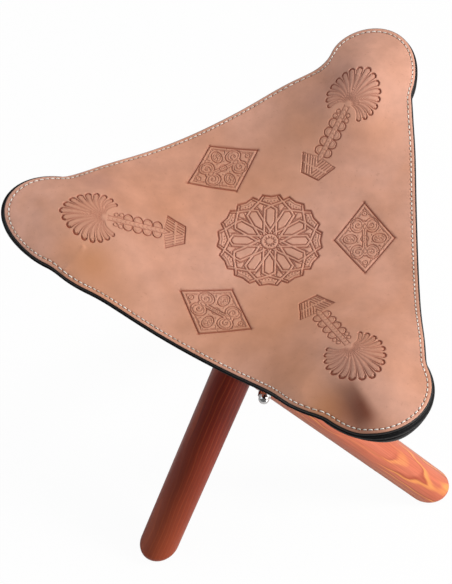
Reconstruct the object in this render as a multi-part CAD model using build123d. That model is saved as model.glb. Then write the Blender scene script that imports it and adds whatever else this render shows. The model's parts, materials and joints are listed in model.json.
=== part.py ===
from build123d import *
import math
import os

# Tripod folding stool: three round wooden legs hinged on a three-armed bolt, with a leather sling seat
# whose three corner pockets take the leg ends. Millimetres. The floor is z = 0, and the middle of the
# stool's outline on the floor is the origin.

# Legs
leg_diameter = 38.0
leg_above_hub = 263.0
leg_below_hub = 281.5
leg_end_rounding = 7.5
splay_angle = 35.5
leg_count = 3
leg_gap = 2.8
first_arm_angle = -90.0

# Three-armed bolt
stud_diameter = 6.0
stud_root_wall = 0.5
stud_past_washer = 6.5
running_clearance = 0.08
thread_clearance = 0.05
hub_height = 18.0
hub_corner_rounding = 1.5
hub_edge_chamfer = 0.8
seat_gap = 0.1

# Washers
washer_diameter = 12.0
washer_thickness = 1.6
washer_hole_clearance = 0.2
spotface_margin = 0.5
outer_spotface_depth = 1.4
inner_spotface_depth = 1.4

# Acorn nuts
nut_across_flats = 10.0
nut_height = 12.0
nut_hex_height = 5.5
nut_dome_diameter = 9.5
nut_bore_depth = 8.0
nut_corner_chamfer = 0.6
nut_hex_sides = 6

# Leather sling, seen from above
lobe_radius = 39.5
lobe_lead = 1.2
seat_turn = -2.1
lobe_bulge = 4.15
notch_rounding = 28.0

# Leather sling, its layers
leather_thickness = 3.0
lining_thickness = 1.4
lining_overhang = 0.5
layer_gap = 0.05

# Leather sling, its sag
rim_rise = 9.2
tent_depth = 31.0
tent_reach = 64.0
bowl_depth = 11.0
bowl_reach = 95.0
tip_curl = 3.0
ridge_inset = 6.5
ridge_softness = 6.0
surface_margin = 19.0
surface_point_count = 31

# Stitching along the edge
stitch_inset = 4.2
thread_width = 0.8
thread_height = 0.4

# Corner pockets and the welts above them
pocket_overhang = 1.0
pocket_thickness = 2.8
pocket_depth = 38.0
pocket_wall_height = 16.0
pocket_leg_clearance = 0.5
pocket_mouth_inset = 25.5
pocket_lining_gap = 0.3
welt_leg_clearance = 8.2
welt_thickness = 3.0

# Overrun of every cutting shape past what it cuts
overrun = 60.0

# Sizes worked out from the ones above
leg_radius = leg_diameter / 2
tilt = math.radians(splay_angle)
half_turn_step = math.pi / leg_count
hub_level = leg_below_hub * math.cos(tilt)
leg_top_level = hub_level + leg_above_hub * math.cos(tilt)
crossing_share = math.hypot(math.sin(tilt) * math.cos(half_turn_step), math.cos(tilt)) / math.cos(tilt)
arm_offset = (leg_diameter + leg_gap) * crossing_share / math.sin(half_turn_step) / 2
stud_radius = stud_diameter / 2
stud_root_distance = (stud_radius + stud_root_wall) / math.tan(half_turn_step)
spotface_radius = washer_diameter / 2 + spotface_margin
outer_seat = arm_offset + leg_radius - outer_spotface_depth
inner_seat = arm_offset - leg_radius + inner_spotface_depth
hub_inradius = inner_seat - seat_gap - washer_thickness - seat_gap
nut_seat = outer_seat + seat_gap + washer_thickness + seat_gap
stud_end_distance = outer_seat + washer_thickness + stud_past_washer
leg_top_distance = math.hypot(arm_offset, leg_above_hub * math.sin(tilt))
lobe_centre_radius = leg_top_distance + lobe_lead
side_margin = lobe_radius - lobe_bulge
rim_level = leg_top_level + rim_rise
ridge_start = lobe_centre_radius - ridge_inset
surface_half_width = lobe_centre_radius + lobe_radius + surface_margin
pocket_mouth_distance = lobe_centre_radius - pocket_mouth_inset
pocket_radius = lobe_radius + pocket_overhang
welt_inner_radius = leg_radius / math.cos(tilt) + welt_leg_clearance
lining_drop = leather_thickness + layer_gap
welt_drop = lining_drop + lining_thickness + pocket_lining_gap
pocket_drop = welt_drop + welt_thickness + layer_gap


class Leg:
    """Directions and places of one leg, measured about the hub axis."""

    def __init__(self, index):
        azimuth = math.radians(first_arm_angle) + 2 * half_turn_step * index
        self.outward = Vector(math.cos(azimuth), math.sin(azimuth), 0)
        self.sideways = Vector(-math.sin(azimuth), math.cos(azimuth), 0)
        self.upward = self.sideways * -math.sin(tilt) + Vector(0, 0, math.cos(tilt))
        self.pivot = self.outward * arm_offset + Vector(0, 0, hub_level)
        top = self.at(leg_above_hub)
        self.corner_angle = math.degrees(math.atan2(top.Y, top.X)) + seat_turn
        corner = math.radians(self.corner_angle)
        self.lobe_centre = Vector(math.cos(corner), math.sin(corner), 0) * lobe_centre_radius

    def at(self, distance):
        """A point on the leg's centre line, by its distance above the arm."""
        return self.pivot + self.upward * distance

    def arm_plane(self, distance):
        """A plane square to the arm, at a distance from the hub axis."""
        origin = self.outward * distance + Vector(0, 0, hub_level)
        return Plane(origin=origin, x_dir=self.upward, z_dir=self.outward)

    def on_arm(self, start, end, radius):
        """A round bar along the arm."""
        return extrude(self.arm_plane(start) * Circle(radius), amount=end - start)

    def corner_frame(self, x, y):
        """A point in the seat corner's own frame, whose x axis runs out along the corner."""
        corner = math.radians(self.corner_angle)
        along = x * math.cos(corner) + y * math.sin(corner)
        across = y * math.cos(corner) - x * math.sin(corner)
        return along, across


legs = [Leg(index) for index in range(leg_count)]


def softened(value, softness):
    """Rises from zero to the value itself over a soft start."""
    return softness * math.log1p(math.exp(value / softness))


def seat_level(x, y):
    """Height of the sling's upper face: a tent over three posts, with a shallow bowl in its middle."""
    slack_share = 1
    curl = 0
    for leg in legs:
        along, across = leg.corner_frame(x, y)
        inward = softened(ridge_start - along, ridge_softness)
        reach_share = (inward**2 + across**2) / tent_reach**2
        slack_share *= 1 - math.exp(-reach_share)
        past_centre = max(along - lobe_centre_radius, 0)
        curl += tip_curl * (past_centre / lobe_radius) ** 2 * math.exp(-reach_share)
    bowl_share = math.exp(-(x**2 + y**2) / bowl_reach**2)
    return rim_level - tent_depth * slack_share - bowl_depth * bowl_share - curl


def seat_surface(drop):
    """The sling's upper face, moved down by the drop."""
    step = 2 * surface_half_width / (surface_point_count - 1)
    places = [step * index - surface_half_width for index in range(surface_point_count)]
    rows = [[Vector(x, y, seat_level(x, y) - drop) for y in places] for x in places]
    return Face.make_surface_from_array_of_points(rows)


def seat_layer(outline, drop, thickness):
    """A layer of the sling inside an outline, its upper face dropped below the sling's own."""
    slab = Solid.extrude(seat_surface(drop), Vector(0, 0, -thickness))
    column = extrude(outline, amount=rim_level + overrun)
    return column & slab


def notch_place():
    """Where a side line meets the lobe's circle, in the corner's own frame."""
    half_chord = math.sqrt(lobe_radius**2 - side_margin**2)
    x = lobe_centre_radius + side_margin * math.cos(half_turn_step) - half_chord * math.sin(half_turn_step)
    y = side_margin * math.sin(half_turn_step) + half_chord * math.cos(half_turn_step)
    return x, y


def seat_outline():
    """The cut of the leather: three straight sides and three round lobes, with eased notches."""
    notch_x, notch_y = notch_place()
    corners = []
    for leg in legs:
        turn = Rot(0, 0, leg.corner_angle)
        corners += [(turn * Pos(notch_x, side * notch_y)).position for side in (-1, 1)]
    outline = Polygon(*[(corner.X, corner.Y) for corner in corners], align=None)
    for leg in legs:
        outline += Pos(leg.lobe_centre) * Circle(lobe_radius)
    meeting_points = outline.vertices()
    notches = [meeting_points.sort_by_distance(corner)[0] for corner in corners]
    return fillet(notches, radius=notch_rounding)


outline = seat_outline()


def make_leg(leg):
    """A round pole cut level at both ends, with rounded rims, a cross bore and two washer seats."""
    start = leg.at(-leg_below_hub - overrun)
    length = leg_below_hub + leg_above_hub + 2 * overrun
    pole = extrude(Plane(origin=start, z_dir=leg.upward) * Circle(leg_radius), amount=length)
    reach = 2 * length
    level_slab = Pos(0, 0, leg_top_level / 2) * Box(reach, reach, leg_top_level)
    pole = pole & level_slab
    rims = pole.edges().filter_by(GeomType.ELLIPSE)
    pole = fillet(rims, radius=leg_end_rounding)
    pole -= leg.on_arm(0, arm_offset + overrun, stud_radius + running_clearance)
    pole -= leg.on_arm(outer_seat, outer_seat + leg_radius, spotface_radius)
    pole -= leg.on_arm(inner_seat, 0, spotface_radius)
    return pole


def make_hub():
    """The three-sided core that carries the arms, one flat face square to each."""
    corner_turn = first_arm_angle + math.degrees(half_turn_step)
    section = RegularPolygon(hub_inradius, leg_count, major_radius=False, rotation=corner_turn)
    block = extrude(Pos(0, 0, hub_level - hub_height / 2) * section, amount=hub_height)
    block = fillet(block.edges().filter_by(Axis.Z), radius=hub_corner_rounding)
    ends = block.edges().group_by(Axis.Z)[0] + block.edges().group_by(Axis.Z)[-1]
    block = chamfer(ends, length=hub_edge_chamfer)
    hole_radius = stud_radius + thread_clearance
    for leg in legs:
        block -= leg.on_arm(stud_root_distance - layer_gap, hub_inradius + overrun, hole_radius)
    return block


def make_stud(leg):
    stud = leg.on_arm(stud_root_distance, stud_end_distance, stud_radius)
    return chamfer(stud.edges().sort_by(Axis(leg.pivot, leg.outward))[-1], length=hub_edge_chamfer)


def make_washer(leg, start):
    washer = leg.on_arm(start, start + washer_thickness, washer_diameter / 2)
    return washer - leg.on_arm(start, start + washer_thickness, stud_radius + washer_hole_clearance)


def make_nut(leg):
    """An acorn nut: a hexagon under a dome, with a blind threaded bore."""
    dome_radius = nut_dome_diameter / 2
    corner_radius = nut_across_flats / 2 / math.cos(math.pi / nut_hex_sides)
    base = leg.arm_plane(nut_seat)
    hexagon = base * RegularPolygon(nut_across_flats / 2, nut_hex_sides, major_radius=False)
    turned_bar = leg.on_arm(nut_seat, nut_seat + nut_hex_height, corner_radius)
    turned_bar = chamfer(turned_bar.edges().filter_by(GeomType.CIRCLE), length=nut_corner_chamfer)
    nut = extrude(hexagon, amount=nut_hex_height) & turned_bar
    nut += leg.on_arm(nut_seat, nut_seat + nut_height - dome_radius, dome_radius)
    nut += base * Pos(0, 0, nut_height - dome_radius) * Sphere(dome_radius)
    return nut - leg.on_arm(nut_seat, nut_seat + nut_bore_depth, stud_radius + thread_clearance)


def make_stitching():
    """The thread line, standing a little above the leather."""
    outer = offset(outline, amount=-stitch_inset)
    inner = offset(outline, amount=-stitch_inset - thread_width)
    return seat_layer(outer - inner, -thread_height - layer_gap, thread_height)


def corner_mouth(leg):
    """Everything on the hub's side of the pocket's mouth."""
    turn = Rot(0, 0, leg.corner_angle)
    depth = 2 * overrun
    middle = pocket_mouth_distance - depth / 2
    return turn * Pos(middle, 0, rim_level) * Box(depth, 2 * depth, 2 * depth)


def pocket_form(leg, lobe_size, leg_margin):
    """The bag between the lobe's rim and the leg's flank, as a loft of two circles and an ellipse."""
    foot_level = rim_level - pocket_depth
    wall_level = rim_level - pocket_drop - pocket_wall_height
    foot_centre = leg.at((foot_level - hub_level) / math.cos(tilt))
    foot_plane = Plane(origin=foot_centre, x_dir=-leg.sideways, z_dir=(0, 0, 1))
    foot_length = (leg_radius + leg_margin) / math.cos(tilt)
    wall_foot = leg.lobe_centre + Vector(0, 0, wall_level)
    wall_plane = Plane(origin=wall_foot, x_dir=-leg.sideways, z_dir=(0, 0, 1))
    flank = loft([foot_plane * Ellipse(foot_length, leg_radius + leg_margin), wall_plane * Circle(lobe_size)])
    wall = extrude(wall_plane * Circle(lobe_size), amount=pocket_wall_height + overrun)
    return flank + wall


def make_pocket(leg):
    outer = pocket_form(leg, pocket_radius, pocket_thickness + pocket_leg_clearance)
    inner = pocket_form(leg, pocket_radius - pocket_thickness, pocket_leg_clearance)
    above = Solid.extrude(seat_surface(pocket_drop), Vector(0, 0, 2 * overrun))
    return outer - inner - above - corner_mouth(leg)


def make_welt(leg):
    ring = Circle(pocket_radius) - Circle(welt_inner_radius)
    return seat_layer(Pos(leg.lobe_centre) * ring, welt_drop, welt_thickness) - corner_mouth(leg)


pieces = {}
for number, leg in enumerate(legs, start=1):
    pieces[f"leg_{number}"] = make_leg(leg)
    pieces[f"stud_{number}"] = make_stud(leg)
    pieces[f"inner_washer_{number}"] = make_washer(leg, hub_inradius + seat_gap)
    pieces[f"outer_washer_{number}"] = make_washer(leg, outer_seat + seat_gap)
    pieces[f"acorn_nut_{number}"] = make_nut(leg)
    pieces[f"pocket_{number}"] = make_pocket(leg)
    pieces[f"pocket_welt_{number}"] = make_welt(leg)
pieces["hub"] = make_hub()
pieces["seat_leather"] = seat_layer(outline, 0, leather_thickness)
pieces["seat_lining"] = seat_layer(offset(outline, amount=lining_overhang), lining_drop, lining_thickness)
pieces["seat_stitching"] = make_stitching()

boxes = [piece.bounding_box() for piece in pieces.values()]
middle_x = (min(box.min.X for box in boxes) + max(box.max.X for box in boxes)) / 2
middle_y = (min(box.min.Y for box in boxes) + max(box.max.Y for box in boxes)) / 2
to_origin = Pos(-middle_x, -middle_y, 0)
print("hub axis at", round(-middle_x, 4), round(-middle_y, 4), "hub level", round(hub_level, 4))

os.makedirs("parts", exist_ok=True)
for name, piece in pieces.items():
    export_step(to_origin * piece, f"parts/{name}.step")
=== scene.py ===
import json
import math
import bpy
import numpy as np
from mathutils import Matrix, Vector
from mathutils.geometry import delaunay_2d_cdt


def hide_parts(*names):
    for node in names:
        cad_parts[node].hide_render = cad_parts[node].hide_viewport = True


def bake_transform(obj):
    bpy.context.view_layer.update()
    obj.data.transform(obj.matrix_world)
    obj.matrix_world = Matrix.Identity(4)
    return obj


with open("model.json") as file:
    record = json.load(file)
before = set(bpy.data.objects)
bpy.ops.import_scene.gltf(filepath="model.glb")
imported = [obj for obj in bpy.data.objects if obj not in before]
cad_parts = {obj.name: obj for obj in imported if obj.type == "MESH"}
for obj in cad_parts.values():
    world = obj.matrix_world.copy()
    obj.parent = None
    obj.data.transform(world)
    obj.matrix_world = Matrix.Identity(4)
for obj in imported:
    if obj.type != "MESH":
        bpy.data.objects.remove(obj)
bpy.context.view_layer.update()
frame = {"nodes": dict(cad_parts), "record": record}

# Lengths are in millimetres, and turn into metres where a mesh, a lamp or the camera is made. Those in the
# materials are in metres.
mm = 0.001
third_turn = 2 * math.pi / 3

# Legs and hub: the solids' sizes, about the frame's hinges
splay = math.radians(35.5)
leg_above_hub = 263.0
leg_radius = 19.0
hinges = sorted(frame["record"]["behaviour"]["joints"], key=lambda joint: joint["name"])
hub_place = np.mean([hinge["pos_m"] for hinge in hinges], axis=0) / mm
hub_level = hub_place[2]
arm_offset = np.linalg.norm(np.array(hinges[0]["pos_m"][:2]) / mm - hub_place[:2])
leg_top_level = hub_level + leg_above_hub * math.cos(splay)

# Leather sling: its plan, its layers and its sag, as the solids have them
seat_turn = math.radians(-2.1)
lobe_radius = 39.5
lobe_bulge = 4.15
side_margin = lobe_radius - lobe_bulge
notch_rounding = 28.0
leg_top_distance = math.hypot(arm_offset, leg_above_hub * math.sin(splay))
lobe_centre_radius = leg_top_distance + 1.2
side_distance = lobe_centre_radius / 2 + side_margin
leather_thickness = 3.0
lining_drop = 3.05
lining_thickness = 1.4
lining_overhang = 0.8
rim_level = leg_top_level + 9.2
tent_depth = 31.0
tent_reach = 64.0
bowl_depth = 11.0
bowl_reach = 95.0
tip_curl = 3.0
ridge_start = lobe_centre_radius - 6.5
ridge_softness = 6.0

# Corner pockets and welts
layer_gap = 0.15
pocket_overhang = 1.2
welt_drop = lining_drop + lining_thickness + layer_gap
welt_thickness = 3.0
welt_width = 9.0
pocket_radius = lobe_radius + 1.0
pocket_drop = welt_drop + welt_thickness + layer_gap
pocket_wall_height = 10.0
pocket_depth = 38.0
pocket_thickness = 2.8
pocket_leg_clearance = 0.5
pocket_mouth = lobe_centre_radius - 25.5

# Stitching: its line, its holes in the leather and its thread
stitch_inset = 3.4
stitch_pitch = 4.0
hole_margin = 0.5
hole_radius = 0.8
hole_depth = 0.9
channel_half_width = 0.7
channel_depth = 0.3
thread_radius = 0.48
thread_sink = 0.55
thread_arch = 0.75


class Corner:
    """One corner of the seat, with the leg that holds it up."""

    def __init__(self, index):
        self.number = index + 1
        self.outward = -np.array(hinges[index]["axis"][:2])
        self.along_leg = np.array([self.outward[1], -self.outward[0]])
        self.leg_top = self.outward * arm_offset + self.along_leg * leg_above_hub * math.sin(splay)
        angle = math.atan2(self.leg_top[1], self.leg_top[0]) + seat_turn
        self.direction = np.array([math.cos(angle), math.sin(angle)])
        self.left = np.array([-self.direction[1], self.direction[0]])
        self.lobe_centre = self.direction * lobe_centre_radius

    def local(self, x, y):
        """Plan points along the corner from the hub axis, and across it."""
        return x * self.direction[0] + y * self.direction[1], x * self.left[0] + y * self.left[1]

    def plan(self, along, across):
        """The way back to plan points."""
        return np.outer(along, self.direction) + np.outer(across, self.left)


corners = [Corner(index) for index in range(3)]


def between(first, last, share):
    return first * (1 - share) + last * share


def smooth_step(value, start, end):
    share = np.clip((value - start) / (end - start), 0, 1)
    return share * share * (3 - 2 * share)


# How the hand-cut corners depart from the even plan: how far past the lobe's circle, as an even part and
# then the cosine and sine parts of one, two and three waves round the lobe. They fade with the distance, and
# between two cosines of the turn towards the seat's middle.
lobe_departures = ((2.8, -2.3, 2.2, 2.0, -4.3, 0.3, -0.3), (5.8, -9.6, -1.9, 3.3, 3.1, -0.7, -1.0),
                   (-6.5, 12.7, -0.9, -3.5, 4.3, 1.8, -0.9))
departure_fade = 25.0
departure_turn = (-0.9, -0.3)


def hand_cut(plan):
    """Plan points moved from the even plan to the sling's own."""
    moved = np.array(plan, float)
    for corner, parts in zip(corners, lobe_departures):
        along, across = corner.local(plan[:, 0], plan[:, 1])
        along = along - lobe_centre_radius
        far, turn = np.hypot(along, across), np.arctan2(across, along)
        reach = parts[0]
        for waves in (1, 2, 3):
            cosine, sine = parts[2 * waves - 1:2 * waves + 1]
            reach = reach + cosine * np.cos(waves * turn) + sine * np.sin(waves * turn)
        inner = (far / lobe_radius) ** 3
        outer = np.exp(-(((far - lobe_radius) / departure_fade) ** 2))
        reach = reach * np.where(far < lobe_radius, inner, outer) * smooth_step(np.cos(turn), *departure_turn)
        moved += corner.plan(reach * np.cos(turn), reach * np.sin(turn))
    return moved


def seat_level(x, y):
    """Height of the sling's upper face over the floor, before its tooling."""
    slack_share = 1
    curl = 0
    for corner in corners:
        along, across = corner.local(x, y)
        inward = ridge_softness * np.logaddexp(0, (ridge_start - along) / ridge_softness)
        reach = (inward**2 + across**2) / tent_reach**2
        slack_share = slack_share * (1 - np.exp(-reach))
        past_centre = np.maximum(along - lobe_centre_radius, 0)
        curl = curl + tip_curl * (past_centre / lobe_radius) ** 2 * np.exp(-reach)
    bowl = bowl_depth * np.exp(-(x**2 + y**2) / bowl_reach**2)
    return rim_level - tent_depth * slack_share - bowl - curl


# Relief of the leather: caps over the leg ends, hollows beside them, two creases and a faint ripple
cap_height = 2.6
cap_reach = 21.0
cap_steepness = 1.5
hollow_depth = 1.5
hollow_reach = 15.0
hollow_along = ridge_start - 12.0
hollow_across = 29.0
near_crease = ((75.0, -138.0), (88.0, -164.0))
near_crease_depth = 2.0
near_crease_steep_reach = 7.0
near_crease_gentle_reach = 14.0
near_crease_softness = 4.0
left_crease = ((-133.0, -42.0), (-144.0, -59.0))
left_crease_height = 0.9
left_crease_reach = 1.5
ripple_height = 0.3


def to_run(x, y, start, end):
    """Where beside a straight run points lie, as a share of it, and their distance from it."""
    run_x, run_y = end[0] - start[0], end[1] - start[1]
    share = ((x - start[0]) * run_x + (y - start[1]) * run_y) / (run_x**2 + run_y**2)
    nearest = np.clip(share, 0, 1)
    return share, np.hypot(x - start[0] - nearest * run_x, y - start[1] - nearest * run_y)


def to_path(x, y, path):
    """Distance from points to a path of straight runs."""
    return np.minimum.reduce([to_run(x, y, start, end)[1] for start, end in zip(path, path[1:])])


def relief(x, y):
    """How far the leather stands over the plain sling."""
    height = ripple_height * np.sin(x / 17 + 1.3) * np.sin(y / 21 - 0.4)
    for corner in corners:
        top_x, top_y = corner.leg_top
        cap = np.exp(-(((x - top_x) ** 2 + (y - top_y) ** 2) / cap_reach**2) ** cap_steepness)
        along, across = corner.local(x, y)
        off = (along - hollow_along) ** 2 + (np.abs(across) - hollow_across) ** 2
        height = height + cap_height * cap - hollow_depth * np.exp(-off / hollow_reach**2)
    (start_x, start_y), (end_x, end_y) = near_crease
    off = (x - start_x) * (end_y - start_y) - (y - start_y) * (end_x - start_x)
    off = off / math.hypot(end_x - start_x, end_y - start_y)
    gentle_share = smooth_step(off, -near_crease_softness, near_crease_softness)
    reach = near_crease_steep_reach + (near_crease_gentle_reach - near_crease_steep_reach) * gentle_share
    height = height - near_crease_depth * np.exp(-((to_path(x, y, near_crease) / reach) ** 2))
    return height + left_crease_height * np.exp(-((to_path(x, y, left_crease) / left_crease_reach) ** 2))


# The seat's outline
fillet_out = side_distance + notch_rounding
fillet_back = math.sqrt((lobe_radius + notch_rounding) ** 2 - (fillet_out - lobe_centre_radius / 2) ** 2)
side_half = lobe_centre_radius * math.sin(third_turn / 2) - fillet_back
side_normal = np.array([math.cos(third_turn / 2), math.sin(third_turn / 2)])
side_back = np.array([math.sin(third_turn / 2), -math.cos(third_turn / 2)])
fillet_centre = side_normal * fillet_out + side_back * side_half
lobe_half_turn = math.atan2(fillet_centre[1], fillet_centre[0] - lobe_centre_radius)


def arc(centre, radius, inset, first, last, spacing):
    """Points along an arc moved inwards by an inset, as many as without it."""
    turns = np.linspace(first, last, round(abs(last - first) * radius / spacing) + 1)
    return centre + (radius - inset) * np.stack([np.cos(turns), np.sin(turns)], 1)


def outline_ring(inset, spacing):
    """The seat's outline moved inwards by an inset, as a closed ring of plan points."""
    lobe = arc((lobe_centre_radius, 0), lobe_radius, inset, 0, lobe_half_turn, spacing)
    fillet = arc(fillet_centre, notch_rounding, -inset, lobe_half_turn + math.pi,
                 third_turn / 2 + math.pi, spacing)
    back = np.linspace(side_half, 0, round(side_half / spacing) + 1)[1:, None]
    side = side_normal * (side_distance - inset) + side_back * back
    half = np.concatenate([lobe, fillet[1:], side])
    third = np.concatenate([half[:0:-1] * [1, -1], half])[1:]
    return np.concatenate([corner.plan(*third.T) for corner in corners])


def ring_reach(x, y, ring):
    """How far out a ring round the hub axis lies, towards each plan point."""
    turns = np.arctan2(ring[:, 1], ring[:, 0])
    order = np.argsort(turns)
    reach = np.hypot(ring[:, 0], ring[:, 1])
    return np.interp(np.arctan2(y, x), turns[order], reach[order], period=2 * math.pi)


# Tooling: stamped ornaments, each in its own plan frame. A depth is a share of the full depth.

def pressed(distance, half_width):
    """A groove's depth, from the distance to its middle."""
    return smooth_step(1 - np.abs(distance) / half_width, 0, 1)


def deepest(*grooves):
    return np.maximum.reduce(grooves)


def polar(*places):
    """Plan points from pairs of a radius and an angle in degrees."""
    return [(radius * math.cos(math.radians(degrees)), radius * math.sin(math.radians(degrees)))
            for radius, degrees in places]


def turned(path, degrees):
    cosine, sine = polar((1.0, degrees))[0]
    return [(x * cosine - y * sine, x * sine + y * cosine) for x, y in path]


def dots(x, y, places, radius):
    return deepest(*(pressed(np.hypot(x - place_x, y - place_y), radius) for place_x, place_y in places))


def past_oval(x, y, centre, half_x, half_y, scale):
    """About how far points lie outside an oval."""
    return (np.hypot((x - centre[0]) / half_x, (y - centre[1]) / half_y) - 1) * scale


rosette_radius = 41.0
petal_turn = 30.0
strap_offset = 4.6
strap_groove = 1.15


def rosette(x, y):
    """A twelve-fold rosette of interlaced straps round a small star."""
    radius = np.hypot(x, y)
    half_turn = math.radians(petal_turn / 2)
    folded = np.abs((np.arctan2(y, x) + half_turn) % (2 * half_turn) - half_turn)
    x, y = radius * np.cos(folded), radius * np.sin(folded)
    strap = np.full_like(x, 1e3)
    for petal in range(-4, 5):
        for side in (-1, 1):
            path = polar((39.6, -side * 20.7), (35.8, -side * 15.0), (31.2, 0))
            path += [(28.4, side * strap_offset), (6.4, side * strap_offset)]
            strap = np.minimum(strap, to_path(x, y, turned(path, petal * petal_turn)))
    outline = to_path(x, y, polar((38.9, 0), (39.7, 5), (40.7, 9.4), (37.2, 15)))
    band = to_path(x, y, polar((36.7, 0), (37.3, 4.4), (37.9, 7.8), (36.2, 11.6), (34.9, 15)))
    star = to_path(x, y, polar((2.6, 0), (4.6, 15)))
    fork = to_path(x, y, polar((20.8, 15), (26.5, 15), (32.0, 10.4)))
    beads = polar((34.9, 0), (35.2, 4.2), (35.4, 8.0), (33.4, 2.0), (33.8, 6.4))
    share = deepest(
        0.95 * pressed(strap - strap_groove, 0.74),
        pressed(outline, 1.15),
        np.where(strap > 0.8, 0.55 * pressed(band, 0.5), 0),
        0.8 * pressed(star, 0.5),
        np.where(strap > 1.2, 0.75 * pressed(fork, 0.6), 0),
        0.8 * dots(x, y, beads, 0.85),
        0.8 * dots(x, y, polar((7.6, 0)), 0.9))
    return np.where(radius < rosette_radius + 1.5, share, 0)


diamond_long = 31.2
diamond_short = 22.8


def diamond(x, y):
    """A diamond with a double border round two scrolled hearts and two medallions."""
    slope = math.hypot(diamond_long, diamond_short)
    inside = (1 - np.abs(x) / diamond_long - np.abs(y) / diamond_short) * diamond_long * diamond_short / slope
    tips = [(diamond_long, 0), (-diamond_long, 0), (0, diamond_short), (0, -diamond_short)]
    border = deepest(pressed(inside, 1.15), 0.6 * pressed(inside - 2.6, 0.5), dots(x, y, tips, 1.9))
    lean = x * np.where(y < 0, -1, 1)
    x, y = np.abs(x), np.abs(y)
    lobe, middle = past_oval(x, y, (11.8, 5.6), 6.3, 5.2, 5.7), past_oval(x, y, (11.0, 0), 4.6, 2.6, 3.2)
    heart = np.minimum.reduce([lobe, middle, np.where(x < 8.5, y - 1.7, 9)])
    turn = (np.arctan2(y - 5.0, x - 11.8) / (2 * math.pi) + 0.35) % 1
    scroll = np.hypot(x - 11.8, y - 5.0) - 0.9 - 1.7 * turn
    medal = past_oval(x, y, (0, 11.0), 4.1, 5.3, 4.6)
    stem = to_path(lean, y, [(-1.9, 8.2), (0.2, 9.6), (-0.4, 12.4), (1.9, 13.8)])
    leaves = (((24.4, 1.3), (26.3, 0)), ((19.2, 4.4), (21.4, 3.0)), ((5.0, 14.9), (8.3, 12.9)),
              ((1.6, 18.0), (3.6, 16.6)), ((6.4, 10.6), (7.6, 12.2)))
    fillers = ((21.9, 0), (18.6, 7.0), (9.6, 12.1), (0, 18.2), (6.0, 8.0), (16.6, 9.3), (10.4, 14.0),
               (3.0, 5.2))
    share = deepest(
        border,
        0.85 * pressed(heart, 0.6),
        np.where(x > 4, 0.6 * pressed(heart + 1.7, 0.5), 0),
        np.where(turn > 0.12, 0.7 * pressed(scroll, 0.55), 0),
        0.7 * dots(x, y, ((11.8, 5.0), (15.3, 4.0), (12.0, 8.8)), 0.8),
        0.85 * pressed(medal, 0.6),
        0.5 * pressed(medal + 1.5, 0.42),
        0.65 * pressed(stem, 0.5),
        0.7 * dots(lean, y, ((1.5, 8.4), (-1.6, 13.2), (1.4, 11.2), (-1.5, 10.6)), 0.65),
        0.7 * pressed(np.hypot(x, y) - 3.0, 0.5),
        0.75 * dots(x, y, ((0, 0), (1.5, 0), (0, 1.5)), 0.7),
        0.75 * pressed(np.hypot(x - 21.9, y) - 1.9, 0.55),
        *(0.65 * pressed(to_path(x, y, leaf), 0.55) for leaf in leaves),
        0.7 * dots(x, y, fillers, 0.75))
    return np.where(inside > -1.9, share, 0)


crown_base = 121.5
frond_count = 8
frond_length = 33.4
frond_shortening = 0.152
frond_turn = 11.5
frond_turn_growth = 0.36
frond_steps = 9
frond_foot_radius = 0.25


def frond(index):
    """A frond's line, curving from the crown's foot to its tip, and the radius of its tip."""
    angle = frond_turn * abs(index) + frond_turn_growth * index**2
    length = frond_length - frond_shortening * angle
    tip_radius = 0.37 * (length - 2.5) * math.radians(frond_turn + 2 * frond_turn_growth * abs(index))
    side = -1 if index < 0 else 1
    bend, tip = np.array(polar((0.55 * length, side * angle * 0.62), (length - tip_radius, side * angle)))
    share = np.linspace(0, 1, frond_steps + 1)[:, None]
    return 2 * share * (1 - share) * bend + share**2 * tip, tip_radius


def palm_crown(x, y):
    """A fan of curved fronds with round tips."""
    lines, tip_radii = zip(*(frond(index) for index in range(-frond_count, frond_count + 1)))
    runs = np.array([[to_run(x, y, *ends) for ends in zip(line, line[1:])] for line in lines])
    share, distance = runs[:, :, 0], runs[:, :, 1]
    along = (np.arange(frond_steps)[:, None] + np.clip(share, 0, 1)) / frond_steps
    radius = frond_foot_radius + (np.array(tip_radii)[:, None, None] - frond_foot_radius) * along
    # The step of each frond that a point is nearest to, and then the nearest frond and the next one
    step = (distance / radius).argmin(1, keepdims=True)
    share, distance, radius = (np.take_along_axis(grid, step, 1)[:, 0] for grid in (share, distance, radius))
    run_out = (step[:, 0] == frond_steps - 1) & (share > 1)
    ratio = distance / radius
    first, other = np.argsort(ratio, axis=0, kind="stable")[:2, None]
    best, width, run_out = (np.take_along_axis(grid, first, 0)[0] for grid in (ratio, radius, run_out))
    second = np.take_along_axis(ratio, other, 0)[0]
    tips = smooth_step(width, 1.3, 2.2)
    share = deepest(
        pressed((best - 1) * width, 0.58) * (0.5 + 0.5 * tips),
        0.7 * np.where((best < 1) & (second < 1), pressed((second - best) * width / 2, 0.4), 0),
        0.42 * pressed((best - 0.5) * width, 0.34) * (best < 1),
        0.32 * pressed(best * width, 0.3) * (best < 1),
        run_out * smooth_step(best, 0.25, 0.8) * (best < 1.12))
    return share * smooth_step(np.hypot(x, y), 1.2, 4.5)


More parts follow.
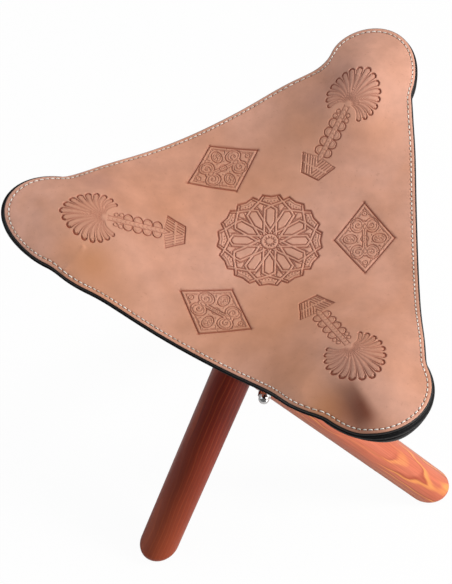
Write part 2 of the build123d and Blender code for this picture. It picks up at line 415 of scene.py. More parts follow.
def palm(x, y):
    """A palm: its crown, a trunk of paired beads and a ribbed foot. Its axis is x, from the crown's foot."""
    crown = palm_crown(x, y) * (x > -18)
    y = np.abs(y)
    on_trunk = (x < -1.5) & (x > -43.6)
    grooves = [np.where(x > -1.5, crown, crown * smooth_step(y + 0.6 * x, -1.0, 3.0)),
               0.75 * np.where(on_trunk, pressed(y - 2.0, 0.5), 0),
               np.where(on_trunk & (y < 1.6), 0.4 * pressed((x + 0.9 * y) % 3.1 - 1.55, 0.5), 0)]
    for centre in (-16.2, -23.3, -30.4, -37.5):
        bead = pressed(past_oval(x, y, (centre, 3.1), 3.3, 3.9, 3.5), 0.7)
        inner = 0.35 * pressed(past_oval(x, y, (centre, 2.6), 2.1, 2.7, 2.3), 0.4)
        grooves.append(np.where(y > 2.3, deepest(bead, inner), 0))
    for centre_x, centre_y, size in ((-7.4, 4.3, 1.5), (-11.2, 5.0, 1.7)):
        grooves.append(0.8 * pressed(np.hypot(x - centre_x, y - centre_y) - size, 0.55))
    wing = to_path(x, y, [(-44.4, 14.2), (-50.4, 11.0), (-58.2, 7.4), (-58.2, 0)])
    inner_edge = to_path(x, y, [(-42.8, 2.6), (-44.4, 14.2)])
    reach = np.interp(x, [-58.2, -50.4, -44.4, -42.8], [7.4, 11.0, 14.2, 14.2])
    on_wing = (x < -43.6) & (x > -57.6) & (y < reach - 0.5) & (np.abs(x + 50.8) > 0.7)
    ribs = np.where(on_wing, 0.8 * pressed((y - 0.49 * (x + 58.2)) % 2.3 - 1.15, 0.72), 0)
    return deepest(*grooves, pressed(wing, 0.9), 0.45 * pressed(inner_edge, 0.45), ribs)


rosette_centre = (1.4, 0.6)
diamond_distance = 73.9
tooling_depth = 1.1


def ornament_frames(x, y):
    """Each ornament's own frame: the zone that it fills, its plan points there, and its function."""
    frames = []
    local_x, local_y = corners[0].local(rosette_centre[0] - x, rosette_centre[1] - y)
    frames.append((np.hypot(local_x, local_y) < rosette_radius + 1, local_x, local_y, rosette))
    for corner in corners:
        along, across = corner.local(x, y)
        short, long = -along - diamond_distance, across
        zone = np.abs(long) / (diamond_long + 1.6) + np.abs(short) / (diamond_short + 1.2) < 1
        frames.append((zone, long, short, diamond))
        up = along - crown_base
        in_crown = (up > -17) & (np.hypot(up, across * 1.15) < 34.5)
        in_trunk = (up > -59.5) & (up <= -17) & (np.abs(across) < np.where(up < -42, 15.2, 8))
        frames.append((in_crown | in_trunk, up, across, palm))
    return frames


def tooling(x, y):
    """The depth share of all stamped lines at plan points."""
    share = np.zeros_like(x)
    for zone, local_x, local_y, ornament in ornament_frames(x, y):
        share[zone] = np.maximum(share[zone], ornament(local_x[zone], local_y[zone]))
    return share


# Where handling and the sun have browned the leather, and painted shade at the notches and on slopes that
# face away from the light: place, reach and strength
browned = ((-124, -54, 20, 1.0), (-100, -74, 26, 0.5), (40, -124, 22, 0.55), (66, -146, 17, 1.0),
           (-8, 60, 42, 0.3), (8, -84, 36, 0.45), (-38, -90, 30, 0.3), (24, -52, 30, 0.3), (-14, 58, 30, 0.3),
           (14, 98, 22, 0.45), (-140, -20, 26, 0.3), (60, -60, 40, 0.15), (74, 92, 14, 0.25))
painted_shade_spots = ((-134, 18, 12, 0.35), (-152, 26, 11, 0.25), (22, 118, 11, 0.3), (34, 131, 11, 0.3),
          (44, 144, 9, 0.25), (-30, 66, 26, 0.2))

# The painted shadow beside the near corner, where the leather folds: its bright edge's ends, its width, how
# its edge softens away from the start, where along the edge it comes and goes, and how much of it goes
fold_edge = ((83.5, -131.0), (98.6, -155.0))
fold_width = 21.0
fold_edge_softness = 3.0
fold_edge_softening = 0.25
fold_start = (-20.0, 14.0)
fold_end = (18.0, 34.0)
fold_end_share = 0.75


def near_fold_shadow(x, y):
    """How dark the painted shadow beside the near corner, where the leather folds, is."""
    start, end = np.array(fold_edge)
    run = unit(end - start)
    along = (x - start[0]) * run[0] + (y - start[1]) * run[1]
    off = (x - start[0]) * run[1] - (y - start[1]) * run[0]
    softness = fold_edge_softness + fold_edge_softening * np.maximum(along, 0)
    across = np.exp(-((np.maximum(off, 0) / fold_width) ** 2))
    across = across * smooth_step(off, -softness, fold_edge_softness)
    return across * smooth_step(along, *fold_start) * (1 - fold_end_share * smooth_step(along, *fold_end))


def spots(x, y, places):
    clear = np.ones_like(x)
    for place_x, place_y, reach, strength in places:
        clear = clear * (1 - strength * np.exp(-((x - place_x) ** 2 + (y - place_y) ** 2) / reach**2))
    return 1 - clear


# Meshes as arrays: places, triangles and values at the points

def filled(ring, spacing, fine_spacing=None):
    """Triangles between a closed ring and a lattice inside it, finer where the ornaments are."""
    reach = np.abs(ring).max()
    inner = ring * (1 - spacing / reach)

    def lattice(step):
        """Lattice points inside the ring, and which of them lie on an ornament."""
        x, y = np.reshape(np.meshgrid(*[np.arange(-reach, reach, step)] * 2), (2, -1))
        keep = np.hypot(x, y) < ring_reach(x, y, inner)
        x, y = x[keep], y[keep]
        return np.stack([x, y], 1), np.any([zone for zone, *_ in ornament_frames(x, y)], axis=0)

    points, on_ornament = lattice(spacing)
    if fine_spacing:
        fine_points, fine_on_ornament = lattice(fine_spacing)
        points = np.concatenate([points[~on_ornament], fine_points[fine_on_ornament]])
    points = np.concatenate([ring, points])
    bounds = [list(range(len(ring)))]
    places, _, faces, origins, *_ = delaunay_2d_cdt([Vector(point) for point in points], [], bounds, 1, 1e-5)
    index = np.array([origin[0] if origin else -1 for origin in origins])
    inside = (index < 0) | (index >= len(ring))
    index[inside] = len(ring) + np.arange(inside.sum())
    places = np.array([tuple(place) for place in places])
    return np.concatenate([ring, places[inside]]), index[np.array(faces)]


def ring_bridge(first, second, count):
    """Triangles between two closed rings of as many points."""
    here = np.arange(count)
    after = (here + 1) % count
    return np.concatenate([np.stack([first + here, first + after, second + after], 1),
                           np.stack([first + here, second + after, second + here], 1)])


def cut_along(table, faces, origin, normal):
    """Splits the triangles that a plan line crosses. A point's row has its place first."""
    side = (table[:, :2] - origin) @ normal
    side[np.abs(side) < 1e-5] = 0
    signs = np.sign(side)
    low, high = signs[faces].min(1), signs[faces].max(1)
    crossing = (low < 0) & (high > 0)
    added, pieces_of_faces = {}, []
    for face in faces[crossing]:
        loop = []
        for here, after in zip(face, np.roll(face, -1)):
            loop.append((here, signs[here]))
            if signs[here] * signs[after] < 0:
                edge = (min(here, after), max(here, after))
                loop.append((added.setdefault(edge, len(table) + len(added)), 0))
        for wanted in (-1, 1):
            part = [index for index, sign in loop if sign * wanted >= 0]
            pieces_of_faces += [(part[0], part[step], part[step + 1]) for step in range(1, len(part) - 1)]
    if not added:
        return table, faces
    first, second = np.array(list(added)).T
    share = (side[first] / (side[first] - side[second]))[:, None]
    table = np.concatenate([table, between(table[first], table[second], share)])
    return table, np.concatenate([faces[~crossing], np.array(pieces_of_faces)])


def unit(vectors):
    return vectors / np.maximum(np.linalg.norm(vectors, axis=-1, keepdims=True), 1e-12)


def face_normals(places, faces):
    """Smooth normals at the points."""
    first, second, third = (places[faces[:, column]] for column in range(3))
    across = np.cross(second - first, third - first)
    normals = np.zeros_like(places)
    for column in range(3):
        np.add.at(normals, faces[:, column], across)
    return unit(normals)


def to_frame(places):
    """Millimetres about the hub axis to metres in the row's frame."""
    return (np.asarray(places, float) + [hub_place[0], hub_place[1], 0]) * mm


def add_object(name, data):
    new = bpy.data.objects.new(name, data)
    bpy.context.collection.objects.link(new)
    return new


# How the sling is parted. Each corner's sector of the sling has a strip over its leg and a part on each side
# of it.
# Each part also gets a run, along the leg for the strip and slanting for the side parts, which nothing uses.
sector_border = math.radians(84.3)
strip_low, strip_high = 2.0, 20.0
turn_start, turn_end = 2.0, 112.0
slant_high, slant_low = 0.1, 1.39
part_names = ("low", "over_leg", "high")


def border_lines():
    """The plan lines that part the sling: three sector borders, and two strip borders in each sector."""
    for corner in corners:
        leg_angle = math.atan2(corner.along_leg[1], corner.along_leg[0])
        towards = 1 if np.cross(corner.along_leg, corner.outward) > 0 else -1
        border = leg_angle + towards * sector_border
        yield np.zeros(2), np.array([-math.sin(border), math.cos(border)])
        for reach in (strip_low, strip_high):
            yield corner.outward * reach, corner.outward


def zones(plan):
    """Each zone that plan points lie in: which of them do, its corner, and its part's number."""
    corner_index = np.zeros(len(plan), int)
    for index, corner in enumerate(corners):
        turn = np.arctan2(plan @ corner.outward, plan @ corner.along_leg)
        corner_index[(turn > sector_border - third_turn) & (turn <= sector_border)] = index
    for index, corner in enumerate(corners):
        part_index = np.digitize(plan @ corner.outward, [strip_low, strip_high])
        for part in range(len(part_names)):
            own = (corner_index == index) & (part_index == part)
            if own.any():
                yield own, corner, part


def add_piece(name, node, corner, part, places, faces, material, normals=None, values=None):
    """A smooth mesh with its named values, in place of a solid."""
    mesh = bpy.data.meshes.new(f"{name}_{corner.number}_{part_names[part]}")
    mesh.from_pydata(to_frame(places).tolist(), [], faces)
    for value_name, column in (values or {}).items():
        kind, field = ("FLOAT", "value") if column.shape[1] == 1 else ("FLOAT_VECTOR", "vector")
        layer = mesh.attributes.new(value_name, kind, "POINT")
        layer.data.foreach_set(field, column.astype(np.float32).ravel())
    mesh.validate()
    mesh.shade_smooth()
    if normals is not None:
        mesh.normals_split_custom_set_from_vertices(normals.tolist())
    mesh.materials.append(material)
    piece = add_object(mesh.name, mesh)
    # Blender adds a number to a name that the carried-over solids' materials already have
    slant, border = ((-slant_low, strip_low), (0.0, 0.0), (slant_high, strip_high))[part]
    direction = corner.along_leg - slant * corner.outward
    start = corner.along_leg * turn_start + corner.outward * border
    end = start + direction * (turn_end - turn_start) / (1 + slant**2)
    first, last = (tuple(to_frame([*place, rim_level])) for place in (start, end))
    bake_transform(piece)
    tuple(first)
    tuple(last)
    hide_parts(node)


def add_layer(name, node, places, faces, material, values):
    """Cuts a layer of the sling along the borders and makes a piece of each part."""
    table = np.column_stack([places, face_normals(places, faces), *values.values()])
    ends = 6 + np.cumsum([column.size // len(column) for column in values.values()], dtype=int)
    for origin, normal in border_lines():
        table, faces = cut_along(table, faces, origin, normal)
    for own, corner, part in zones(table[faces, :2].mean(1)):
        used, renumbered = np.unique(faces[own], return_inverse=True)
        places, normals, *columns = np.split(table[used], [3, 6, *ends], axis=1)
        add_piece(name, node, corner, part, places, renumbered.reshape(-1, 3).tolist(), material, normals,
                  dict(zip(values, columns)))


# Materials

class Finish:
    """A new material, with short calls for its nodes."""

    def __init__(self, name, roughness, metallic=0.0, specular=0.5):
        self.material = bpy.data.materials.new(name)
        self.material.use_nodes = True
        self.nodes, self.links = self.material.node_tree.nodes, self.material.node_tree.links
        self.shader = self.nodes["Principled BSDF"]
        self.feed(self.shader, {"Roughness": roughness, "Metallic": metallic, "Specular IOR Level": specular})

    def feed(self, node, inputs):
        """Links or sets those of a node's inputs that are given."""
        for key, value in inputs.items():
            if isinstance(value, bpy.types.NodeSocket):
                self.links.new(value, node.inputs[key])
            elif value is not None:
                node.inputs[key].default_value = value

    def add(self, kind, output, *inputs, **settings):
        """Adds a node with its inputs in their order, and returns one of its outputs."""
        node = self.nodes.new(kind)
        for key, value in settings.items():
            setattr(node, key, value)
        self.feed(node, dict(enumerate(inputs)))
        return node.outputs[output]

    def object_place(self):
        return self.add("ShaderNodeTexCoord", "Object")

    def attribute(self, name, output="Fac"):
        return self.add("ShaderNodeAttribute", output, attribute_name=name)

    def noise(self, vector, scale, detail=2.0, roughness=0.5, distortion=0.0):
        return self.add("ShaderNodeTexNoise", 0, vector, None, scale, detail, roughness, None, None, None,
                        distortion)

    def mapped(self, vector, location=(0, 0, 0), turn=(0, 0, 0), stretch=1.0):
        return self.add("ShaderNodeMapping", 0, vector, location, turn, (1, 1, stretch))

    def calculate(self, kind, *values):
        return self.add("ShaderNodeMath", 0, *values, operation=kind)

    def levels(self, value, low, high, new_low, new_high):
        """A value's range turned into a new one, and kept within it."""
        return self.add("ShaderNodeMapRange", 0, value, low, high, new_low, new_high)

    def ramp(self, value, *stops):
        node = self.nodes.new("ShaderNodeValToRGB")
        elements = node.color_ramp.elements
        while len(elements) < len(stops):
            elements.new(0.5)
        for element, (place, colour) in zip(elements, stops):
            element.position = place
            element.color = (*colour, 1)
        self.feed(node, {"Fac": value})
        return node.outputs["Color"]

    def mix(self, share, first, second, blend="MIX"):
        first, second = ((*colour, 1) if isinstance(colour, tuple) else colour for colour in (first, second))
        return self.add("ShaderNodeMix", 2, share, *[None] * 5, first, second, data_type="RGBA",
                        blend_type=blend)

    def surface(self, colour, roughness=None):
        self.feed(self.shader, {"Base Color": colour, "Roughness": roughness})

    def bump(self, height, distance, strength, before=None):
        """Roughens the surface, on top of another bump if one is given."""
        normal = self.add("ShaderNodeBump", 0, strength, distance, None, height, before)
        self.feed(self.shader, {"Normal": normal})
        return normal


def tan_leather():
    """Smooth vegetable-tanned leather: cloudy tan, stains, painted shade on slopes and where it folds,
    burnished stamped lines, black painted edge.
    """
    finish = Finish("tan_leather", 0.46, specular=0.22)
    place = finish.attribute("place", "Vector")
    clouds = finish.noise(place, 9.0, 3.0, 0.55, 0.6)
    mottle = finish.noise(place, 60.0, 4.0, 0.6)
    colour = finish.ramp(clouds, (0.30, (0.56, 0.265, 0.165)), (0.48, (0.63, 0.32, 0.222)),
                         (0.62, (0.66, 0.35, 0.255)), (0.78, (0.62, 0.30, 0.190)))
    fine = finish.levels(mottle, 0.3, 0.7, 0.89, 1.09)
    fine_grey = finish.add("ShaderNodeCombineColor", 0, fine, fine, fine)
    colour = finish.mix(1.0, colour, fine_grey, "MULTIPLY")
    specks = finish.noise(place, 420.0, 1.0, 0.4)
    colour = finish.mix(finish.levels(specks, 0.69, 0.76, 0.0, 0.16), colour, (0.30, 0.12, 0.06))
    # The second and third tints are painted shade: spots on slopes that face away from the light, and the
    # shadow where the leather folds by the near corner. The first is a stain, the last the burnish of the
    # stamped lines.
    for name, strength, tint in (("brown", 0.75, (0.50, 0.205, 0.080)), ("painted_shade", 0.75, (0.36, 0.185, 0.165)),
                                 ("fold_shadow", 0.9, (0.17, 0.034, 0.011)), ("tone", 0.82, (0.22, 0.030, 0.008))):
        colour = finish.mix(finish.levels(finish.attribute(name), 0.0, 1.0, 0.0, strength), colour, tint)
    painted = finish.levels(finish.attribute("edge"), 0.4, 0.6, 0.0, 1.0)
    colour = finish.mix(painted, colour, (0.012, 0.010, 0.010))
    finish.surface(colour, finish.levels(mottle, 0.2, 0.8, 0.40, 0.55))
    grain = finish.bump(finish.noise(place, 220.0, 3.0, 0.55), 0.00012, 0.5)
    finish.bump(finish.noise(place, 900.0, 3.0, 0.6), 0.00005, 0.6, grain)
    return finish.material


def black_leather():
    """Black chrome-tanned leather with a fine pebble."""
    finish = Finish("black_leather", 0.55, specular=0.14)
    place = finish.object_place()
    clouds = finish.noise(place, 30.0, 3.0)
    colour = finish.ramp(clouds, (0.35, (0.003, 0.003, 0.0035)), (0.7, (0.009, 0.009, 0.010)))
    finish.surface(colour, finish.levels(clouds, 0.3, 0.7, 0.42, 0.62))
    pebbles = finish.add("ShaderNodeTexVoronoi", 0, place, None, 520.0)
    finish.bump(pebbles, 0.00025, 0.7)
    return finish.material


def waxed_thread():
    """Waxed white thread, with its twist."""
    finish = Finish("thread", 0.55)
    place = finish.object_place()
    soil = finish.noise(place, 90.0, 2.0)
    finish.surface(finish.ramp(soil, (0.35, (0.55, 0.48, 0.40)), (0.6, (0.83, 0.80, 0.74))))
    finish.bump(finish.noise(place, 2500.0, 2.0), 0.0001, 0.6)
    return finish.material


# Painted light on the legs: heights along a leg, in metres from its hinge, where the lightening towards the
# foot is full and where it starts, below the seat's shade
foot_light_end, foot_light_start = -0.27, -0.1


def stained_wood(corner, base, bright, line, pith, slant, wander, ring, shift, faint, strong, foot):
    """Stained softwood: growth rings that the round pole cuts at a slant, under satin lacquer."""
    finish = Finish(f"leg_wood_{corner.number}", 0.36, specular=0.2)
    along = Vector((*(corner.along_leg * math.sin(splay)), math.cos(splay)))
    upward = (Vector((0, 0, 1)) - along * along.z).normalized()
    pivot = Vector(to_frame([*(corner.outward * arm_offset), hub_level]))
    turn = Matrix((upward, along.cross(upward), along)).transposed().to_4x4()
    to_leg = (Matrix.Translation(pivot) @ turn).inverted()
    place = finish.mapped(finish.object_place(), to_leg.to_translation(), to_leg.to_euler())
    height = finish.add("ShaderNodeSeparateXYZ", 2, place)
    from_pith = finish.mapped(place, (-pith[0], -pith[1], 0), stretch=0.0)
    radius = finish.add("ShaderNodeVectorMath", "Value", from_pith, operation="LENGTH")
    slanted = finish.calculate("MULTIPLY_ADD", height, slant, radius)
    waves = finish.noise(finish.mapped(place, (shift, 0, 0), stretch=0.3), 30.0, 2.0)
    wandered = finish.calculate("MULTIPLY_ADD", waves, wander, slanted)
    phase = finish.calculate("FRACT", finish.calculate("DIVIDE", wandered, ring))
    rings = finish.ramp(phase, (0.0, base), (0.45, base), (0.62, bright), (0.70, bright), (0.78, line),
                        (0.92, base))
    where_bright = finish.noise(finish.mapped(place, (shift + 2, 0, 0), stretch=0.25), 36.0, 1.0)
    colour = finish.mix(finish.levels(where_bright, 0.38, 0.62, faint, strong), base, rings)
    fibres = finish.noise(finish.mapped(place, (0.3, 0, 0), stretch=0.02), 1100.0, 3.0, 0.6)
    fibre_colour = finish.ramp(fibres, (0.3, (0.66, 0.58, 0.54)), (0.7, (1.14, 1.12, 1.10)))
    colour = finish.mix(0.7, colour, fibre_colour, "MULTIPLY")
    # Painted light: the leg turns towards its bright tone near the foot, by the share given as foot, where
    # the seat's shade no longer falls
    colour = finish.mix(finish.levels(height, foot_light_end, foot_light_start, foot, 0.0), colour, bright)
    patches = finish.noise(finish.mapped(place, (1.7, 0, 0), stretch=0.3), 22.0, 2.0)
    colour = finish.mix(finish.levels(patches, 0.35, 0.75, 0.0, 0.45), colour, line)
    finish.surface(colour, finish.levels(fibres, 0.3, 0.7, 0.28, 0.42))
    finish.bump(fibres, 0.00008, 0.5)
    return finish.material


def metal(name, colour, roughness, scale):
    """Plated steel with faint handling marks."""
    finish = Finish(name, roughness, metallic=1.0)
    marks = finish.noise(finish.object_place(), scale, 3.0)
    darker = tuple(0.86 * channel for channel in colour)
    finish.surface(finish.ramp(marks, (0.3, darker), (0.7, colour)),
                   finish.levels(marks, 0.3, 0.7, roughness * 0.7, roughness * 1.5))
    finish.bump(marks, 0.00003, 0.4)
    return finish.material


floor_grey = 0.9
floor_glow_share = 0.96


def floor_material():
    """A white floor that stays white for the camera but keeps a faint shadow."""
    finish = Finish("floor", 1.0)
    finish.nodes.remove(finish.shader)
    diffuse = finish.add("ShaderNodeBsdfDiffuse", 0, (floor_grey, floor_grey, floor_grey, 1))
    glow = finish.add("ShaderNodeEmission", 0)
    seen = finish.add("ShaderNodeLightPath", "Is Camera Ray")
    share = finish.calculate("MULTIPLY", seen, floor_glow_share)
    shown = finish.add("ShaderNodeMixShader", 0, share, diffuse, glow)
    finish.links.new(shown, finish.nodes["Material Output"].inputs["Surface"])
    return finish.material


leather = tan_leather()
black = black_leather()
thread = waxed_thread()
chrome = metal("polished_chrome", (0.62, 0.62, 0.62), 0.12, 300.0)
zinc = metal("zinc_plate", (0.58, 0.58, 0.57), 0.3, 500.0)


# The sling's layers: closed skins of rings round the edge, a filled top and a filled underside

def closed_skin(rings, top_steps, under_step):
    """Plan points and triangles of a closed skin, and where in it the ring, top and under points are."""
    count, band = len(rings[0]), len(rings[0]) * len(rings)
    top_plan, top_faces = filled(rings[-1], *top_steps)
    under_plan, under_faces = filled(rings[0], under_step)
    top_end = band + len(top_plan) - count
    under_faces = under_faces[:, ::-1]
    plan = np.concatenate([*rings, top_plan[count:], under_plan[count:]])
    faces = [ring_bridge(level * count, (level + 1) * count, count) for level in range(len(rings) - 1)]
    faces.append(top_faces + band - count)
    faces.append(np.where(under_faces < count, under_faces, under_faces + top_end - count))
    return plan, np.concatenate(faces), (slice(0, band), slice(band, top_end), slice(top_end, None))


def on_sling(plan, drop):
    """Places at a drop below the sling's face, on its hand-cut plan."""
    x, y = plan.T
    return np.column_stack([hand_cut(plan), seat_level(x, y) + relief(x, y) - drop])


# The tan leather: how far in, how far down and how black each ring of its edge is, and the plain rings after

ring_spacing = 0.6
edge_profile = ((0.2, 3.0, 1), (0.0, 2.6, 1), (0.0, 1.5, 1), (0.06, 0.9, 1), (0.3, 0.45, 1),
                (0.75, 0.12, 0.5), (1.3, 0.0, 0), (1.9, 0.0, 0))
channel_insets = (2.4, 2.8, 3.1, 3.4, 3.7, 4.0, 4.4, 5.0, 5.9, 7.0, 8.4)
plain_step, tooled_step = 1.7, 0.42
leather_under_step = 4.0
channel_tone, hole_tone = 0.15, 1.2


def travel(ring):
    """A closed ring's points, how far along it each lies, and its whole length."""
    closed = np.concatenate([ring, ring[:1]])
    travelled = np.concatenate([[0], np.cumsum(np.linalg.norm(np.diff(closed, axis=0), axis=1))])
    return closed, travelled, travelled[-1]


def thread_holes(ring):
    """Where along a ring a thread hole is, as a share of a hole's depth."""
    _, travelled, whole = travel(ring)
    pitch = whole / round(whole / stitch_pitch)
    return pressed(np.abs((travelled[:-1] / pitch + 0.5) % 1 - 0.5) * pitch, hole_radius)


def make_leather():
    """The sling's tan top layer, stamped and stitched, with a rounded, painted edge."""
    insets, drops, paints = np.array([*edge_profile, *((inset, 0, 0) for inset in channel_insets)], float).T
    rings = [outline_ring(inset, ring_spacing) for inset in insets]
    count = len(rings[0])
    plan, faces, (band, top, under) = closed_skin(rings, (plain_step, tooled_step), leather_under_step)
    from_line = np.repeat(insets, count) - stitch_inset
    channel = np.exp(-((from_line / channel_half_width) ** 2))
    hole = np.tile(thread_holes(outline_ring(stitch_inset, ring_spacing)), len(rings))
    hole = hole * pressed(from_line, hole_radius)
    stamped = tooling(*plan[top].T)
    drop, tone, edge = np.zeros((3, len(plan)))
    drop[band] = np.repeat(drops, count) + channel_depth * channel + hole_depth * hole
    drop[top] = tooling_depth * stamped
    drop[under] = leather_thickness
    tone[band] = channel_tone * channel + hole_tone * hole
    tone[top] = stamped
    edge[band] = np.repeat(paints, count)
    edge[under] = 1
    places = on_sling(plan, drop)
    x, y, _ = places.T
    # The brown spots are stains; the other spots and the darkening where the leather folds are painted shade.
    values = {"tone": tone, "edge": edge, "place": to_frame(places), "brown": spots(x, y, browned),
              "painted_shade": spots(x, y, painted_shade_spots), "fold_shadow": near_fold_shadow(x, y)}
    add_layer("seat_leather", "seat_leather", places, faces, leather, values)


# The lining: how far in and how far down each ring of its edge is

lining_profile = ((1.0, 1.4), (0.25, 1.3), (0.0, 0.9), (0.0, 0.4), (0.3, 0.05), (1.2, 0.0), (3.0, 0.0))
lining_ring_spacing = 1.2
lining_step = 3.5


def make_lining():
    """The black layer under the tan one, standing a little out past it."""
    insets, drops = np.array(lining_profile).T
    rings = [outline_ring(inset - lining_overhang, lining_ring_spacing) for inset in insets]
    plan, faces, (band, _, under) = closed_skin(rings, (lining_step,), lining_step)
    drop = np.full(len(plan), lining_drop)
    drop[band] += np.repeat(drops, len(rings[0]))
    drop[under] += lining_thickness
    add_layer("seat_lining", "seat_lining", on_sling(plan, drop), faces, black, {})


# Stitching

thread_sides = 8
thread_rings = 9
stitch_ring_spacing = 0.3
thread_end_share = 0.35
thread_flatness = 0.8


def make_stitching():
    """Single stitches along the edge, each arched a little and ending in its holes."""
    closed, travelled, whole = travel(outline_ring(stitch_inset, stitch_ring_spacing))
    count = round(whole / stitch_pitch)
    shares = np.linspace(0, 1, thread_rings)
    arch = np.sin(shares * math.pi)
    reach = (hole_margin + shares * (stitch_pitch - 2 * hole_margin)) / stitch_pitch
    along = (np.arange(count)[:, None] + reach).ravel() * whole / count
    plan = np.column_stack([np.interp(along, travelled, column) for column in closed.T])
    middle = on_sling(plan, np.tile(thread_sink - thread_arch * arch**0.6, count))
    middle = middle.reshape(count, thread_rings, 3)
    forward = unit(np.gradient(middle, axis=1))
    side = unit(np.cross(forward, [0, 0, 1]))
    rise = thread_flatness * np.cross(side, forward)
    girth = (thread_radius * (thread_end_share + (1 - thread_end_share) * arch**0.35))[:, None, None]
    turns = (np.arange(thread_sides) * 2 * math.pi / thread_sides)[:, None]
    around = side[:, :, None] * np.cos(turns) + rise[:, :, None] * np.sin(turns)
    bodies = middle[:, :, None] + girth * around
    grid = np.arange(thread_rings * thread_sides).reshape(thread_rings, thread_sides)
    after = np.roll(grid, -1, 1)
    own_faces = np.stack([grid[:-1], grid[1:], after[1:], after[:-1]], -1).reshape(-1, 4).tolist()
    own_faces += [grid[0].tolist(), grid[-1, ::-1].tolist()]
    for own, corner, part in zones(middle[:, thread_rings // 2, :2]):
        faces = [[number * grid.size + point for point in face]
                 for number in range(own.sum()) for face in own_faces]
        add_piece("seat_stitching", "seat_stitching", corner, part, bodies[own].reshape(-1, 3), faces, thread)


# Pockets and welts: how far each pocket stands past the lobe's far side, how far its sides are drawn in, and
# its shift

pocket_fits = ((2.0, 14.0), (1.8, 6.0), (0.8, 5.0))
pocket_shifts = ((-0.6, 2.2), (0.4, 0.9), (0.4, 0.4))
pocket_columns = 121
wall_rows = 5
bag_rows = 14
wall_bulge = 0.012
bag_draw = 1.35
pleat_height = 0.5
pleat_count = 13
mouth_samples = 721


def arc_in_mouth(corner, centre, size_along, size_across):
    """Plan points of an ellipse, kept where they lie past the pocket's mouth."""
    def at(angles):
        return (centre + size_along * np.cos(angles)[:, None] * corner.along_leg
                + size_across * np.sin(angles)[:, None] * corner.outward)

    sweep = np.linspace(-math.pi, math.pi, mouth_samples)
    along, _ = corner.local(*at(sweep).T)
    past = sweep[along >= pocket_mouth]
    return at(np.linspace(past.min(), past.max(), pocket_columns))


def hung_out(corner, plan):
    """Plan points drawn in under the sling's own edge, then moved out as the corner's pocket hangs."""
    limit = ring_reach(*plan.T, outline_ring(-pocket_overhang, lining_ring_spacing))
    plan = hand_cut(plan * np.minimum(1, limit / np.hypot(*plan.T))[:, None])
    off = unit(plan - corner.lobe_centre)
    past_lobe = pocket_fits[corner.number - 1][0] * np.maximum(0, off @ corner.direction) ** 2
    return plan + past_lobe[:, None] * off + pocket_shifts[corner.number - 1]


def make_pocket(corner):
    """The bag under a lobe: a wall round the rim, drawn in below it to the leg."""
    foot_level = rim_level - pocket_depth
    wall_level = rim_level - pocket_drop - pocket_wall_height
    foot_run = (foot_level - hub_level) * math.tan(splay)
    foot_centre = corner.outward * arm_offset + corner.along_leg * foot_run
    drawn_in = pocket_fits[corner.number - 1][1]
    pleat = pleat_height * np.sin(np.linspace(0, 2 * pleat_count * math.pi, pocket_columns))[:, None]

    def skin(inset):
        rows = []
        radius = pocket_radius - inset
        foot_across = leg_radius + pocket_leg_clearance + pocket_thickness - inset
        rim = arc_in_mouth(corner, corner.lobe_centre, radius, radius)
        rim_height = seat_level(*rim.T) - pocket_drop
        off = rim - corner.lobe_centre
        hung = hung_out(corner, rim)
        squeeze = (drawn_in * (off @ corner.outward) / pocket_radius)[:, None] * corner.outward
        for share in np.linspace(0, 1, wall_rows):
            plan = hung + off * wall_bulge * math.sin(share * math.pi) - share * squeeze
            rows.append(np.column_stack([plan, between(rim_height, wall_level, share)]))
        for share in np.linspace(0, 1, bag_rows + 1)[1:]:
            drawn = share**bag_draw
            centre = between(corner.lobe_centre, foot_centre, drawn)
            along = between(radius, foot_across / math.cos(splay), drawn)
            across = between(radius - drawn_in, foot_across, drawn)
            plan = arc_in_mouth(corner, centre, along, across) + (hung - rim) * (1 - drawn)
            plan += math.sin(share * math.pi) * pleat * unit(plan - centre)
            level = np.full(pocket_columns, between(wall_level, foot_level, share))
            rows.append(np.column_stack([plan, level]))
        return rows

    loop = skin(0.0) + skin(pocket_thickness)[::-1]
    grid_piece(f"pocket_{corner.number}_bag", loop, f"pocket_{corner.number}")


def grid_piece(name, loop, node):
    """A closed form of rows that loop round a section, capped at both ends and parted like the sling."""
    grid = np.arange(len(loop) * pocket_columns).reshape(len(loop), pocket_columns)
    after = np.roll(grid, -1, 0)
    quads = [np.stack([grid[:, :-1], grid[:, 1:], after[:, 1:], after[:, :-1]], -1).reshape(-1, 4)]
    half = len(loop) // 2
    for column, order in ((0, -1), (pocket_columns - 1, 1)):
        end = grid[:, column]
        facing = end[:half - 1:-1]
        quads.append(np.stack([end[:half - 1], end[1:half], facing[1:], facing[:-1]], 1)[:, ::order])
    quads = np.concatenate(quads)
    triangles = np.concatenate([quads[:, :3], quads[:, [0, 2, 3]]])
    add_layer(name, node, np.concatenate(loop), triangles, black, {})


def make_welt(corner):
    """The second black layer between the lining and the pocket."""
    section = ((0.0, 0.5), (0.0, 2.5), (0.6, welt_thickness), (welt_width - 0.6, welt_thickness),
               (welt_width, 2.4), (welt_width, 0.6), (welt_width - 0.6, 0.0), (0.6, 0.0))
    loop = []
    for inset, drop in section:
        plan = arc_in_mouth(corner, corner.lobe_centre, pocket_radius - inset, pocket_radius - inset)
        loop.append(np.column_stack([hung_out(corner, plan), seat_level(*plan.T) - welt_drop - drop]))
    grid_piece(f"pocket_{corner.number}_welt", loop, f"pocket_welt_{corner.number}")


make_leather()
make_lining()
make_stitching()
for corner in corners:
    make_pocket(corner)
    make_welt(corner)


# Wood and metal of the carried-over solids. The wood's lengths are in metres.

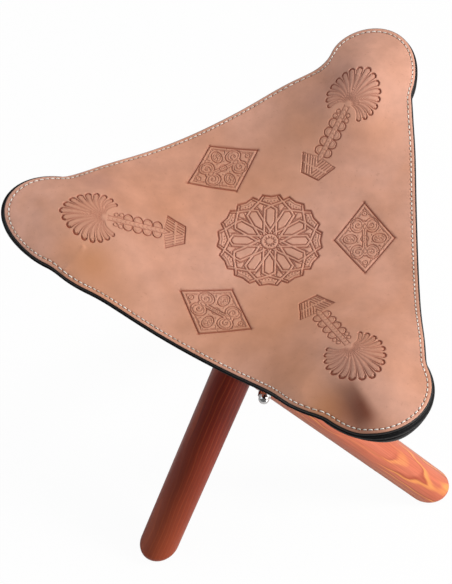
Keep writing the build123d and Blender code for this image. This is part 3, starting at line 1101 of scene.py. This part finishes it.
# foot, in each leg's tones, is the share of painted light towards the leg's foot
wood_tones = (
    dict(base=(0.56, 0.155, 0.085), bright=(0.80, 0.34, 0.100), line=(0.36, 0.065, 0.028), foot=0.0,
         pith=(-0.030, 0.012), slant=0.026, wander=0.013, ring=0.0031, shift=5.0, faint=0.15, strong=0.95),
    dict(base=(0.19, 0.014, 0.003), bright=(0.40, 0.075, 0.020), line=(0.10, 0.007, 0.002), foot=0.6,
         pith=(-0.050, 0.020), slant=0.020, wander=0.010, ring=0.0042, shift=3.0, faint=0.2, strong=0.6),
    dict(base=(0.18, 0.014, 0.003), bright=(0.40, 0.075, 0.020), line=(0.10, 0.007, 0.002), foot=0.6,
         pith=(0.060, -0.035), slant=0.012, wander=0.008, ring=0.0040, shift=6.0, faint=0.15, strong=0.5),
)


def dress(node, material):
    """Gives a carried-over solid its finish."""
    for material_slot in frame["nodes"][node].material_slots:
        material_slot.material = material


dress("hub", zinc)
for corner, tones in zip(corners, wood_tones):
    dress(f"leg_{corner.number}", stained_wood(corner, **tones))
    dress(f"stud_{corner.number}", zinc)
    for node in ("inner_washer", "outer_washer", "acorn_nut"):
        dress(f"{node}_{corner.number}", chrome)


# Floor, lamps and camera

floor_half = 4000.0
floor_drop = 0.2
floor_mesh = bpy.data.meshes.new("floor")
floor_corners = ((-1, -1), (1, -1), (1, 1), (-1, 1))
floor_places = [(x * floor_half * mm, y * floor_half * mm, -floor_drop * mm) for x, y in floor_corners]
floor_mesh.from_pydata(floor_places, [], [(0, 1, 2, 3)])
floor_mesh.materials.append(floor_material())
add_object("floor", floor_mesh)

lamp_aim = (0.0, 0.0, 400.0)


def add_lamp(name, place, size, power, colour):
    """A square soft lamp, aimed at the seat."""
    lamp_data = bpy.data.lights.new(name, "AREA")
    lamp_data.size = size * mm
    lamp_data.energy = power
    lamp_data.color = colour
    lamp = add_object(name, lamp_data)
    lamp.location = to_frame(place)
    lamp.rotation_euler = (Vector(to_frame(lamp_aim)) - lamp.location).to_track_quat("-Z", "Y").to_euler()


add_lamp("key", (1700, 250, 1250), 500, 34.0, (1.0, 0.97, 0.94))
add_lamp("fill", (-1300, 50, 1400), 1500, 10.5, (0.90, 0.94, 1.0))
add_lamp("side", (1300, -650, 260), 420, 11.0, (1.0, 0.93, 0.88))
add_lamp("top", (300, 300, 2300), 1300, 9.5, (1.0, 1.0, 1.0))

world = bpy.data.worlds.new("studio")
world.use_nodes = True
background = world.node_tree.nodes["Background"]
background.inputs["Color"].default_value = (1, 1, 1, 1)
background.inputs["Strength"].default_value = 0.17
bpy.context.scene.world = world

camera_place = (99.24, -505.86, 1270.41)
camera_azimuth = math.radians(15.12)
camera_elevation = math.radians(61.12)
camera_roll = math.radians(-6.28)
focal_pixels = 1300.89
frame_width_pixels = 452.0
sensor_width = 36.0

camera_data = bpy.data.cameras.new("camera")
camera_data.sensor_fit = "HORIZONTAL"
camera_data.sensor_width = sensor_width
camera_data.lens = sensor_width * focal_pixels / frame_width_pixels
camera = add_object("camera", camera_data)
camera_turn = (Matrix.Rotation(camera_azimuth, 4, "Z")
               @ Matrix.Rotation(math.pi / 2 - camera_elevation, 4, "X")
               @ Matrix.Rotation(camera_roll, 4, "Z"))
camera.matrix_world = Matrix.Translation(Vector(to_frame(camera_place))) @ camera_turn
bpy.context.scene.camera = camera
bpy.context.scene.view_settings.view_transform = "Standard"
